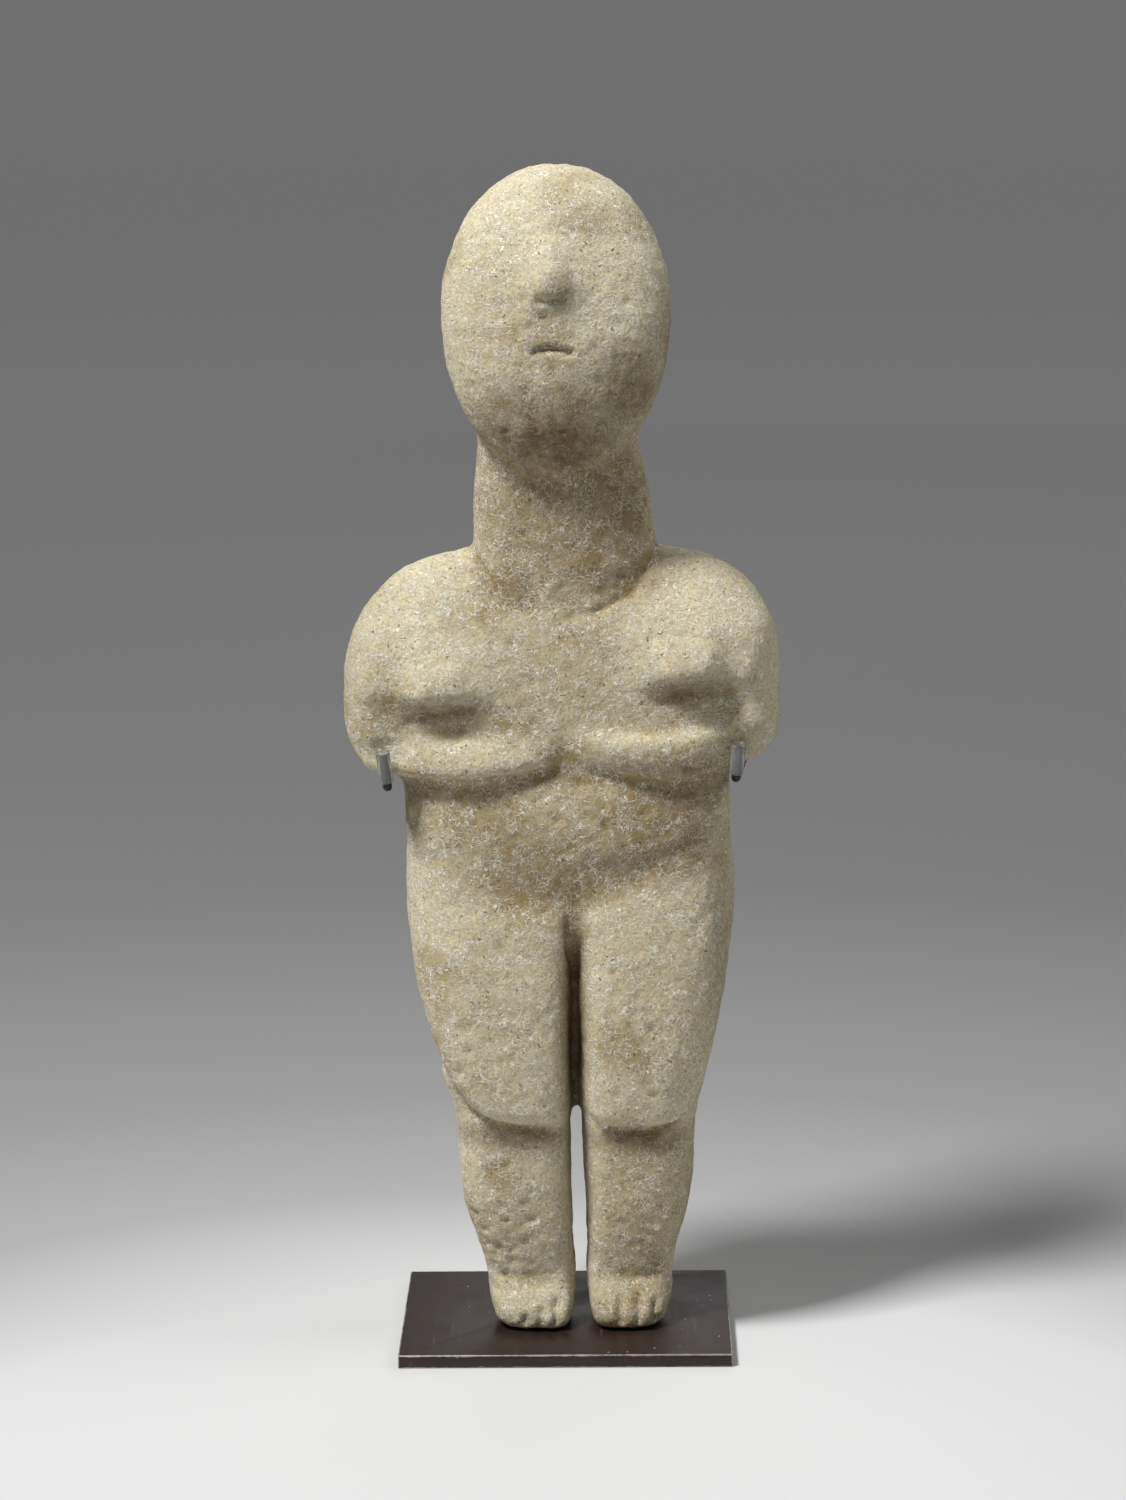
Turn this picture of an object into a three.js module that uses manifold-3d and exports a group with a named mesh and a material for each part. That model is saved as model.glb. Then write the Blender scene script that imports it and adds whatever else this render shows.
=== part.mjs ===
// A marble folded-arm figurine of the Cycladic Early Bronze Age, held on a small museum stand.
// Millimetres, +Z up. The figurine faces -Y, +X is on the right of someone who faces it, and the
// origin is on the ground under the middle of the whole object.
//
// The carving is one solid of marble. Its form is a field: a function that is negative inside
// the stone and close to a distance outside it, put together from eggs, lofted slabs and rounded
// limbs that flow into each other. The field is then skinned with triangles, small where the
// carving is fine and large where it is broad.
import * as THREE from "three";
import { mergeVertices } from "three/addons/utils/BufferGeometryUtils.js";
import Module from "manifold-3d";

const wasm = await Module();
wasm.setup();

// ---------------------------------------------------------------- driving dimensions

const PLATE = { width: 84, depth: 64, thickness: 3.4, bevel: 0.4 };
const POST = { x: 14, y: 25, radius: 2.2, socket: 2.4 }; // the socket is a blind hole in the plate
// The wire's two sides run apart by the spread on their way back.
const WIRE = { radius: 1.15, bend: 1.8, backBend: 6, backY: 25, spread: 4 };
const SLEEVE = { inner: 1.45, outer: 1.75, length: 7.8, past: 1 }; // past the end of the wire
const GAP = 0.3; // left between two pieces that touch
const CROWN_Z = 297; // top of the head, above the ground
const SOLE_Z = PLATE.thickness + GAP;

// ---------------------------------------------------------------- tools of the field

const { clamp, lerp, smoothstep } = THREE.MathUtils;

// The smaller of two fields, with the crease between them filled to a fillet of about k.
function join(a, b, k) {
  const h = Math.max(k - Math.abs(a - b), 0) / k;
  return Math.min(a, b) - (h * h * k) / 4;
}

// What lies inside both fields, with the edge between them rounded by about k.
const both = (a, b, k) => -join(-a, -b, k);

// The smaller of two fields, with a line cut along the crease between them.
function scored(a, b, depth, width) {
  const h = Math.max(width - Math.abs(a - b), 0) / width;
  return Math.min(a, b) + depth * h * h;
}

// A smooth curve through [at, value] stations, constant past its ends.
function stations(...points) {
  const slope = points.map((p, i) => {
    const before = points[Math.max(i - 1, 0)];
    const after = points[Math.min(i + 1, points.length - 1)];
    return (after[1] - before[1]) / (after[0] - before[0]);
  });
  return (z) => {
    if (z <= points[0][0]) return points[0][1];
    const last = points.length - 1;
    if (z >= points[last][0]) return points[last][1];
    const i = points.findIndex((p) => p[0] > z) - 1;
    const step = points[i + 1][0] - points[i][0];
    const t = (z - points[i][0]) / step;
    const rise = points[i + 1][1] - points[i][1];
    const bend = t * (1 - t) * (slope[i] * (1 - t) - slope[i + 1] * t);
    return points[i][1] + rise * t * t * (3 - 2 * t) + step * bend;
  };
}

// A superellipse |u|^n + |v|^n = 1 with half sizes a and b, as a distance.
function oval(u, v, a, b, n) {
  const p = Math.abs(u) / a;
  const q = Math.abs(v) / b;
  const r = Math.pow(Math.pow(p, n) + Math.pow(q, n), 1 / n);
  if (r < 0.25) return -0.75 * Math.min(a, b);
  const slope = Math.hypot(Math.pow(p / r, n - 1) / a, Math.pow(q / r, n - 1) / b);
  return (r - 1) / slope;
}

// An egg: an ellipsoid with half sizes rx, ry and rz. It is squarer than round in plan where
// plan is over 2, and squarer in its outline where rise is over 2.
function egg(x, y, z, rx, ry, rz, plan = 2, rise = 2) {
  const p = Math.abs(x) / rx;
  const q = Math.abs(y) / ry;
  const s = Math.abs(z) / rz;
  const c = Math.max(Math.pow(Math.pow(p, plan) + Math.pow(q, plan), 1 / plan), 1e-6);
  const r = Math.pow(Math.pow(c, rise) + Math.pow(s, rise), 1 / rise);
  if (r < 0.25) return -0.75 * Math.min(rx, ry, rz);
  const across = Math.pow(c / r, rise - 1);
  const slope = Math.hypot(
    (across * Math.pow(p / c, plan - 1)) / rx,
    (across * Math.pow(q / c, plan - 1)) / ry,
    Math.pow(s / r, rise - 1) / rz,
  );
  return (r - 1) / slope;
}

// A limb from a to b, each { at: [x, y, z], r: radius }, round and flattened along Y.
function limb(x, y, z, a, b, flat = 1) {
  const dx = b.at[0] - a.at[0];
  const dy = (b.at[1] - a.at[1]) / flat;
  const dz = b.at[2] - a.at[2];
  const px = x - a.at[0];
  const py = (y - a.at[1]) / flat;
  const pz = z - a.at[2];
  const t = clamp((px * dx + py * dy + pz * dz) / (dx * dx + dy * dy + dz * dz), 0, 1);
  return Math.hypot(px - t * dx, py - t * dy, pz - t * dz) - lerp(a.r, b.r, t);
}

// ---------------------------------------------------------------- head and neck

// A long egg. z is the height of its widest place, and up and down are how far it reaches from
// there.
const HEAD = { z: 262, y: -7, halfWidth: 28.2, halfDepth: 16.6, up: CROWN_Z - 262, down: 40 };
// The head leans back above its widest place and stands nearly upright below it. The leans are
// slopes, and one passes into the other over the bend.
const HEAD_LEAN = { crown: 0.22, chin: 0.08, bend: 12 };
const HEAD_SQUARE = { plan: 2.35, crown: 2.12, chin: 2.05 };

function head(x, y, z) {
  const h = z - HEAD.z;
  const bent = Math.hypot(h, HEAD_LEAN.bend);
  const back = (h * (HEAD_LEAN.crown + HEAD_LEAN.chin) + bent * (HEAD_LEAN.crown - HEAD_LEAN.chin)) / 2;
  const lean = y - HEAD.y - back;
  const reach = h > 0 ? HEAD.up : HEAD.down;
  const rise = h > 0 ? HEAD_SQUARE.crown : HEAD_SQUARE.chin;
  return egg(x, lean, h, HEAD.halfWidth, HEAD.halfDepth, reach, HEAD_SQUARE.plan, rise);
}

// The nose is a broad wedge that grows out of the brow and is cut off square below.
const NOSE = { brow: { at: [-0.8, -13, 280], r: 4.6 }, tip: { at: [-1.4, -20.8, 269.5], r: 5.4 } };
const NOSE_Z = 265.8; // its underside
const NOSE_ROUND = 1.6;

function nose(x, y, z) {
  return both(limb(x, y, z, NOSE.brow, NOSE.tip), NOSE_Z - z, NOSE_ROUND);
}

const neckLeft = stations([190, -23.6], [204, -21.6], [215, -21], [228, -20], [240, -18]);
const neckRight = stations([190, 26], [204, 24.4], [215, 22.9], [228, 20.6], [240, 18]);
const neckFront = stations([185, -10.4], [195, -11.4], [215, -12], [230, -13]);
const neckBack = stations([190, 15], [210, 12], [225, 9.4], [240, 4.6]);

// A section of a lofted part: an oval between its four sides.
function section(x, y, left, right, front, back, n) {
  const half = (right - left) / 2;
  return oval(x - left - half, y - (front + back) / 2, half, (back - front) / 2, n);
}

const NECK = { foot: 165, top: 250, square: 2.25 }; // both ends lie hidden inside the chest and the head
const NECK_LINE = { depth: 0.5, width: 2.2 }; // cut where the neck meets the chest

function neck(x, y, z) {
  const side = section(x, y, neckLeft(z), neckRight(z), neckFront(z), neckBack(z), NECK.square);
  return Math.max(side, z - NECK.top, NECK.foot - z);
}

// ---------------------------------------------------------------- shoulders, trunk and arms

// Arms and shoulders read as one broad egg. Its left corner (-X) slopes more than its right one,
// and its right elbow sits higher. The chest slopes back by the lean, while the back is upright.
const SHOULDERS = { x: 0.4, y: 1, z: 165, halfWidth: 54.4, halfDepth: 17, lean: 0.13, plan: 2.8 };
const CORNER = { left: { reach: 39.6, rise: 2.5 }, right: { reach: 38.7, rise: 3.2 } };
const ELBOW = { left: { reach: 26.4, rise: 2.3 }, right: { reach: 20, rise: 3 } };

function shoulders(x, y, z) {
  const h = z - SHOULDERS.z;
  const across = smoothstep(x, -30, 30);
  const form = h > 0 ? CORNER : ELBOW;
  const reach = lerp(form.left.reach, form.right.reach, across);
  const rise = lerp(form.left.rise, form.right.rise, across);
  const lean = (SHOULDERS.lean * Math.max(h, 0)) / 2;
  const halfDepth = SHOULDERS.halfDepth - lean;
  const middle = SHOULDERS.y + lean;
  return egg(x - SHOULDERS.x, y - middle, h, SHOULDERS.halfWidth, halfDepth, reach, SHOULDERS.plan, rise);
}

const TRUNK = { foot: 110, top: 190, round: 14, square: 2.7 }; // its ends are rounded inside the other forms
const trunkLeft = stations([95, -37], [105, -38.2], [122, -38.8], [135, -38.4], [190, -38]);
const trunkRight = stations([95, 41.5], [105, 42.3], [118, 42.9], [135, 41.8], [190, 40]);
const trunkFront = stations([138, -14.4], [150, -13.8], [164, -14.2], [176, -13.4], [188, -11]);
const trunkBack = stations([95, 14], [112, 16], [135, 13.5], [160, 15], [190, 13]);

function trunk(x, y, z) {
  const side = section(x, y, trunkLeft(z), trunkRight(z), trunkFront(z), trunkBack(z), TRUNK.square);
  return both(side, Math.max(z - TRUNK.top, TRUNK.foot - z), TRUNK.round);
}

// The forearms lie one opposite the other, and are given by their distance from the middle. Tip
// is how far the front of a forearm leans.
const ARMS = [
  {
    side: -1,
    shoulder: { at: [-43.8, -2.2, 178], r: 7.6 },
    elbow: { at: [-45.6, -3.2, 159], r: 7.8 },
    hand: 5,
    tip: -0.36,
    cuff: 45,
    y: stations([5, -13.6], [20, -14.2], [34, -10.8], [46, -4.4]),
    z: stations([5, 154.8], [24, 153.2], [46, 154.2]),
    r: stations([5, 4], [14, 4.9], [26, 5.6], [46, 6.2]),
    breast: { at: [-31.5, -5.8, 172.4], across: 18, up: 25, down: 6.4 },
  },
  {
    side: 1,
    shoulder: { at: [45.2, -2.6, 181], r: 7.6 },
    elbow: { at: [46.6, -3.4, 160], r: 7.8 },
    hand: 8,
    tip: 0.16,
    cuff: 46,
    y: stations([8, -13.6], [22, -14.2], [36, -10.6], [47, -4.2]),
    z: stations([8, 154.6], [17, 153.4], [27, 152.6], [36, 153.8], [47, 156.4]),
    r: stations([8, 4.2], [15, 5.2], [26, 5.8], [47, 6]),
    breast: { at: [33, -5.8, 177], across: 16.5, up: 21, down: 6.6 },
  },
];

const UPPER_ARM_FLAT = 1.3; // deeper than it is wide

function upperArm(x, y, z, arm) {
  return limb(x, y, z, arm.shoulder, arm.elbow, UPPER_ARM_FLAT);
}

// The section of a forearm is squarer than round. The left one faces a little up and the right
// one a little down.
const FOREARM = { flat: 0.9, square: 2.8 };

function forearm(x, y, z, arm) {
  const out = x * arm.side;
  const u = clamp(out, arm.hand, arm.cuff);
  const high = z - arm.z(u);
  const front = (y - arm.y(u) + arm.tip * high) / FOREARM.flat;
  const { square } = FOREARM;
  const around = Math.pow(Math.pow(Math.abs(front), square) + Math.pow(Math.abs(high), square), 1 / square);
  return FOREARM.flat * (Math.hypot(u - out, around) - arm.r(u));
}

// A breast leans back like the chest, and is squarer on its under side.
const BREAST = { depth: 13.2, lean: 0.28, plan: 2.2, under: 3.2 };

function breast(x, y, z, arm) {
  const { at, across, up, down } = arm.breast;
  const h = z - at[2];
  const reach = h > 0 ? up : down;
  const rise = h > 0 ? 2 : BREAST.under;
  return egg(x - at[0], y - at[1] - BREAST.lean * h, h, across, BREAST.depth, reach, BREAST.plan, rise);
}

// A shallow channel between the upper arm and the breast.
function armpit(x, y, z, arm) {
  const top = { at: [arm.side * 42, -18.6, 182], r: 1 };
  const low = { at: [arm.side * 43, -18, 166], r: 2.6 };
  return limb(x, y, z, top, low);
}

// ---------------------------------------------------------------- belly

// The belly swells below the arms and ends above the thighs in a wide U.
// It reaches a little past the fold.
const BELLY = { top: 150, past: 1, back: 10, square: 2.6, round: 6 };
const bellyFront = stations(
  [105, -9.6], [116, -13.2], [128, -16.6], [138, -17.4], [146, -15.8], [150, -13.6],
);
const foldZ = stations([-40, 131], [-25, 122.5], [-7, 117.6], [2, 116], [10, 118], [26, 127], [42, 136]);

function belly(x, y, z) {
  const side = section(x, y, trunkLeft(z), trunkRight(z), bellyFront(z), BELLY.back, BELLY.square);
  const low = foldZ(x) - BELLY.past - z;
  return both(side, Math.max(low, z - BELLY.top), BELLY.round);
}

// ---------------------------------------------------------------- legs and feet

const LEGS = [
  {
    side: -1,
    outer: stations(
      [4, -17.5], [10, -19.2], [17, -19.8], [23, -21.9], [33, -25.4], [44, -27.2], [56, -27.4],
      [61, -28], [71, -32], [86, -35.9], [97, -37.6], [108, -38.4], [122, -37], [135, -34],
    ),
    inner: stations([4, 1.4], [12, 2], [33, 1.8], [57, 1.5], [95, 2.2], [106, 2.8], [112, 4.5]),
    flare: -0.04, // how the inner wall slopes away from the cleft towards the front and back
    knee: { x: -3, half: 22, power: 4, z: 59.4, rise: 6 },
  },
  {
    side: 1,
    outer: stations(
      [4, 25], [10, 26.6], [17, 26.8], [23, 28.3], [33, 31.4], [44, 32.9], [56, 33.3],
      [61, 33.8], [71, 36.9], [86, 40], [97, 41.8], [108, 42.5], [122, 41], [135, 38],
    ),
    inner: stations([4, 6.6], [12, 5.9], [23, 5.4], [33, 5], [57, 4.1], [95, 3.1], [106, 2.8], [112, 1]),
    flare: 0.1,
    knee: { x: 18, half: 15, power: 4, z: 58.6, rise: 6 },
  },
];

const thighFront = stations([52, -17.6], [60, -18.8], [72, -19.8], [90, -19.4], [110, -17.2], [130, -14]);
const thighBack = stations([50, 9], [62, 10.5], [85, 15], [112, 16.5], [130, 14]);
const calfFront = stations([6, -8], [17, -11], [30, -13.4], [45, -15], [58, -15.6]);
const calfBack = stations([6, 3], [17, 5.5], [30, 10], [45, 12.5], [60, 10.5]);

// A leg's section: round on its outer side and square where the cleft cut it. The middle is the
// share of its width, from the cleft, where the two meet.
const LEG_SECTION = { middle: 0.45, inner: 4.5, outer: 2.7 };

function legSection(x, y, z, leg, front, back) {
  const middle = (front(z) + back(z)) / 2;
  const inner = leg.inner(z) + leg.flare * Math.abs(y - middle);
  const outer = leg.outer(z);
  const centre = lerp(inner, outer, LEG_SECTION.middle);
  const inward = (x - centre) * leg.side < 0;
  const half = Math.abs((inward ? inner : outer) - centre);
  const square = inward ? LEG_SECTION.inner : LEG_SECTION.outer;
  return oval(x - centre, y - middle, half, (back(z) - front(z)) / 2, square);
}

const THIGH_ROUND = { top: 9, rim: 1.8 };

function thigh(x, y, z, leg) {
  const { knee } = leg;
  const rim = knee.z + knee.rise * Math.pow(Math.abs(x - knee.x) / knee.half, knee.power);
  const side = legSection(x, y, z, leg, thighFront, thighBack);
  return both(both(side, z - foldZ(x), THIGH_ROUND.top), rim - z, THIGH_ROUND.rim);
}

const CALF = { foot: SOLE_Z + 2, top: 72, round: 4 }; // its ends lie inside the foot and the thigh

function calf(x, y, z, leg) {
  const side = legSection(x, y, z, leg, calfFront, calfBack);
  return both(side, Math.max(z - CALF.top, CALF.foot - z), CALF.round);
}

const footFront = stations([4, -16], [7, -16.4], [12, -14], [16, -11], [21, -7]);
const footBack = stations([4, 2], [10, 3]);

const FOOT = { top: 20.5, round: 3 };

function foot(x, y, z, leg) {
  const side = legSection(x, y, z, leg, footFront, footBack);
  return both(side, Math.max(z - FOOT.top, SOLE_Z - z), FOOT.round);
}

// The thighs are not cut through: a web is left between them above the knees. It is thinnest at
// its pointed lower end and comes out to the surface at the top of the cleft.
const webFront = stations([57, 1], [85, -1], [99, -6], [106, -12], [113, -14]);
const webBack = stations([57, 8.5], [90, 11], [104, 13], [113, 14]);
const WEB = { x: 2.8, half: 4, low: 60.5, high: 112, point: 3 };

function web(x, y, z) {
  const off = Math.abs(x - WEB.x);
  const across = Math.max(off - WEB.half, webFront(z) - y, y - webBack(z));
  return Math.max(across, WEB.low - WEB.point * off - z, z - WEB.high);
}

// The stone behind the belly's fold, so that only the front is creased.
const CORE = { foot: 106, top: 150, front: -13, square: 3, round: 8 };

function core(x, y, z) {
  const side = section(x, y, trunkLeft(z), trunkRight(z), CORE.front, trunkBack(z), CORE.square);
  return both(side, Math.max(z - CORE.top, CORE.foot - z), CORE.round);
}

// ---------------------------------------------------------------- the whole figurine

// How softly each part flows into the stone it grows from.
const FILLET = {
  shoulders: 2, upperArm: 3, breast: 7, armpit: 6, forearm: 2.5, nose: 5, head: 2.5,
  belly: 3, core: 2, ankle: 2.5, knee: 0.9, legs: 4,
};
const ARM_REACH = 12; // an arm's parts end this far past the middle

function figurineField(x, y, z) {
  let body = join(trunk(x, y, z), shoulders(x, y, z), FILLET.shoulders);
  for (const arm of ARMS) {
    if (x * arm.side < -ARM_REACH) continue;
    body = join(body, upperArm(x, y, z, arm), FILLET.upperArm);
    body = join(body, breast(x, y, z, arm), FILLET.breast);
    body = both(body, -armpit(x, y, z, arm), FILLET.armpit);
    body = join(body, forearm(x, y, z, arm), FILLET.forearm);
  }
  const line = NECK_LINE.depth * smoothstep(Math.abs(x), 2, 12);
  body = scored(body, neck(x, y, z), line, NECK_LINE.width);
  body = join(body, join(head(x, y, z), nose(x, y, z), FILLET.nose), FILLET.head);
  body = join(body, join(core(x, y, z), belly(x, y, z), FILLET.belly), FILLET.core);
  let legs = web(x, y, z);
  for (const leg of LEGS) {
    const lower = join(calf(x, y, z, leg), foot(x, y, z, leg), FILLET.ankle);
    legs = Math.min(legs, join(lower, thigh(x, y, z, leg), FILLET.knee));
  }
  return join(body, legs, FILLET.legs);
}

// ---------------------------------------------------------------- skinning a field

// Rows of grid planes from lo to hi, about step apart, and closer where fine says so.
function planes(lo, hi, step, fine = []) {
  const rows = [];
  for (let at = lo; at < hi; ) {
    rows.push(at);
    const zone = fine.find((f) => at >= f.from && at < f.to);
    at += zone ? zone.step : step;
  }
  rows.push(hi);
  return rows;
}

// A closed quad skin: one point in each cell that the surface crosses, and one quad for each
// grid edge that it crosses.
function skin(field, xs, ys, zs) {
  const [nx, ny, nz] = [xs.length, ys.length, zs.length];
  const at = (i, j, k) => i + nx * (j + ny * k);
  const value = new Float64Array(nx * ny * nz);
  for (let k = 0; k < nz; k++)
    for (let j = 0; j < ny; j++)
      for (let i = 0; i < nx; i++) value[at(i, j, k)] = field(xs[i], ys[j], zs[k]);

  const points = [];
  const cellPoint = new Map();
  const axes = [xs, ys, zs];
  const corners = [];
  for (let c = 0; c < 8; c++) corners.push([c & 1, (c >> 1) & 1, (c >> 2) & 1]);
  for (let k = 0; k < nz - 1; k++)
    for (let j = 0; j < ny - 1; j++)
      for (let i = 0; i < nx - 1; i++) {
        const sum = [0, 0, 0];
        let crossings = 0;
        for (let c = 0; c < 8; c++)
          for (let axis = 0; axis < 3; axis++) {
            if (corners[c][axis]) continue;
            const cell = [i, j, k];
            const p = cell.map((n, d) => n + corners[c][d]);
            const q = p.map((n, d) => n + (d === axis ? 1 : 0));
            const vp = value[at(...p)];
            const vq = value[at(...q)];
            if (vp < 0 === vq < 0) continue;
            const t = vp / (vp - vq);
            for (let d = 0; d < 3; d++) sum[d] += axes[d][p[d]] * (1 - t) + axes[d][q[d]] * t;
            crossings++;
          }
        if (!crossings) continue;
        cellPoint.set(at(i, j, k), points.length);
        points.push(sum.map((s) => s / crossings));
      }

  const faces = [];
  for (let k = 1; k < nz - 1; k++)
    for (let j = 1; j < ny - 1; j++)
      for (let i = 1; i < nx - 1; i++)
        for (let axis = 0; axis < 3; axis++) {
          const inside = value[at(i, j, k)] < 0;
          const next = [i, j, k];
          next[axis]++;
          if (inside === value[at(...next)] < 0) continue;
          const u = (axis + 1) % 3;
          const v = (axis + 2) % 3;
          const cell = (du, dv) => {
            const c = [i, j, k];
            c[u] -= du;
            c[v] -= dv;
            return cellPoint.get(at(...c));
          };
          const quad = [cell(0, 0), cell(1, 0), cell(1, 1), cell(0, 1)];
          if (!inside) quad.reverse();
          const span = (a, b) => Math.hypot(...points[a].map((n, d) => n - points[b][d]));
          if (span(quad[0], quad[2]) < span(quad[1], quad[3]))
            faces.push([quad[0], quad[1], quad[2]], [quad[0], quad[2], quad[3]]);
          else faces.push([quad[1], quad[2], quad[3]], [quad[1], quad[3], quad[0]]);
        }
  return { points, faces };
}

// Moves a point onto the surface of the field, along its slope.
function settle(field, p, steps = 3) {
  const e = 0.02; // a small step, to measure the slope
  const farthest = 1.5;
  for (let n = 0; n < steps; n++) {
    const v = field(...p);
    const g = [0, 1, 2].map((d) => {
      const a = p.slice();
      const b = p.slice();
      a[d] += e;
      b[d] -= e;
      return (field(...a) - field(...b)) / (2 * e);
    });
    const gg = g[0] * g[0] + g[1] * g[1] + g[2] * g[2] + 1e-9;
    const move = clamp(v / gg, -farthest, farthest);
    for (let d = 0; d < 3; d++) p[d] -= move * g[d];
  }
  return p;
}

// Splits each edge whose middle is off the surface by more than the tolerance.
function refine(field, mesh, tolerance, shortest) {
  const middles = new Map();
  const key = (a, b) => (a < b ? a + "_" + b : b + "_" + a);
  for (const f of mesh.faces)
    for (let n = 0; n < 3; n++) {
      const [a, b] = [f[n], f[(n + 1) % 3]];
      if (middles.has(key(a, b))) continue;
      const p = mesh.points[a];
      const q = mesh.points[b];
      const straight = p.map((v, d) => (v + q[d]) / 2);
      const settled = settle(field, straight.slice());
      const off = Math.hypot(...settled.map((v, d) => v - straight[d]));
      const length = Math.hypot(...p.map((v, d) => v - q[d]));
      const split = off > tolerance && length > 2 * shortest && off < length / 3;
      middles.set(key(a, b), split ? mesh.points.push(settled) - 1 : -1);
    }
  const faces = [];
  for (const [a, b, c] of mesh.faces) {
    const m = [middles.get(key(a, b)), middles.get(key(b, c)), middles.get(key(c, a))];
    const v = [a, b, c];
    const cut = m.filter((i) => i >= 0).length;
    if (cut === 0) faces.push(v);
    else if (cut === 3)
      faces.push([a, m[0], m[2]], [m[0], b, m[1]], [m[2], m[1], c], [m[0], m[1], m[2]]);
    else if (cut === 1) {
      const n = m.findIndex((i) => i >= 0);
      faces.push([v[n], m[n], v[(n + 2) % 3]], [m[n], v[(n + 1) % 3], v[(n + 2) % 3]]);
    } else {
      const n = m.findIndex((i) => i < 0); // the edge that stays whole
      const [p, q, r] = [v[n], v[(n + 1) % 3], v[(n + 2) % 3]];
      const mq = m[(n + 1) % 3];
      const mr = m[(n + 2) % 3];
      faces.push([mq, r, mr], [p, q, mq], [p, mq, mr]);
    }
  }
  return { points: mesh.points, faces };
}

// Evens out the triangles: each point goes to the middle of its neighbours, then back onto
// the surface.
function relax(field, mesh, share) {
  const sum = mesh.points.map(() => [0, 0, 0, 0]);
  for (const f of mesh.faces)
    for (let n = 0; n < 3; n++) {
      const other = mesh.points[f[(n + 1) % 3]];
      const s = sum[f[n]];
      for (let d = 0; d < 3; d++) s[d] += other[d];
      s[3]++;
    }
  mesh.points = mesh.points.map((p, i) => {
    const s = sum[i];
    const moved = p.map((v, d) => v + share * (s[d] / s[3] - v));
    return settle(field, moved, 2);
  });
  return mesh;
}

const BOX = { x: [-66, 66], y: [-36, 30], z: [-4, 308] }; // the grid's span, well round the stone
const COARSE = 6; // grid step on the broad forms
const CLEFT_ROWS = { from: -6, to: 11, step: 2.2 };
const FOOT_ROWS = { from: -4, to: 20, step: 3 };
const TRUE_WITHIN = 0.27; // how far a triangle's edge may be from the surface
const SHORTEST_EDGE = 1.2;
const PASSES = 3; // of evening out and splitting
const EVEN = 0.45; // how far a point goes towards the middle of its neighbours

function figurineGeometry() {
  const xs = planes(...BOX.x, COARSE, [CLEFT_ROWS]);
  const ys = planes(...BOX.y, COARSE);
  const zs = planes(...BOX.z, COARSE, [FOOT_ROWS]);
  let mesh = skin(figurineField, xs, ys, zs);
  mesh.points.forEach((p) => settle(figurineField, p));
  for (let pass = 0; pass < PASSES; pass++) {
    relax(figurineField, mesh, EVEN);
    mesh = refine(figurineField, mesh, TRUE_WITHIN, SHORTEST_EDGE);
  }
  relax(figurineField, mesh, EVEN);
  return new THREE.BufferGeometry()
    .setAttribute("position", new THREE.Float32BufferAttribute(mesh.points.flat(), 3))
    .setIndex(mesh.faces.flat());
}

// ---------------------------------------------------------------- joins and cuts

function solidOf(geometry) {
  const bare = new THREE.BufferGeometry().setAttribute("position", geometry.getAttribute("position"));
  if (geometry.index) bare.setIndex(geometry.index);
  const merged = mergeVertices(bare, 1e-4);
  return new wasm.Manifold(
    new wasm.Mesh({
      numProp: 3,
      vertProperties: new Float32Array(merged.getAttribute("position").array),
      triVerts: new Uint32Array(merged.index.array),
    }),
  );
}

function geometryOf(solid) {
  const { vertProperties, triVerts } = solid.getMesh();
  return new THREE.BufferGeometry()
    .setAttribute("position", new THREE.BufferAttribute(new Float32Array(vertProperties), 3))
    .setIndex(new THREE.BufferAttribute(new Uint32Array(triVerts), 1));
}

// An upright cylinder from one height to another.
function upright(x, y, low, high, radius, sides) {
  return new THREE.CylinderGeometry(radius, radius, high - low, sides)
    .rotateX(Math.PI / 2)
    .translate(x, y, (low + high) / 2);
}

// ---------------------------------------------------------------- base plate

// A steel plate with its edges broken, and a blind hole for the post.
function plateGeometry() {
  const { width, depth, thickness, bevel } = PLATE;
  const [w, d] = [width / 2 - bevel, depth / 2 - bevel];
  const outline = new THREE.Shape([
    new THREE.Vector2(-w, -d),
    new THREE.Vector2(w, -d),
    new THREE.Vector2(w, d),
    new THREE.Vector2(-w, d),
  ]);
  const slab = new THREE.ExtrudeGeometry(outline, {
    depth: thickness - 2 * bevel,
    bevelThickness: bevel,
    bevelSize: bevel,
    bevelSegments: 1,
  }).translate(0, 0, bevel);
  const hole = upright(
    POST.x, POST.y, thickness - POST.socket - GAP, thickness + 1, POST.radius + GAP, 24,
  );
  return geometryOf(solidOf(slab).subtract(solidOf(hole)));
}

// ---------------------------------------------------------------- cradle

// Where the wire turns up in front of each elbow, and how it leans there.
const PRONGS = {
  left: { foot: new THREE.Vector3(-42.8, -14.6, 145.3), lean: new THREE.Vector3(-0.11, -0.17, 1) },
  right: { foot: new THREE.Vector3(43.4, -14.6, 147), lean: new THREE.Vector3(0.09, -0.24, 1) },
};
for (const prong of Object.values(PRONGS)) prong.lean.normalize();

const BEND_STEPS = 5;
const PRONG_START = WIRE.bend - 0.1; // height of the sleeve's lower end above the foot

const prongAt = (prong, height) => prong.foot.clone().addScaledVector(prong.lean, height);

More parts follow.
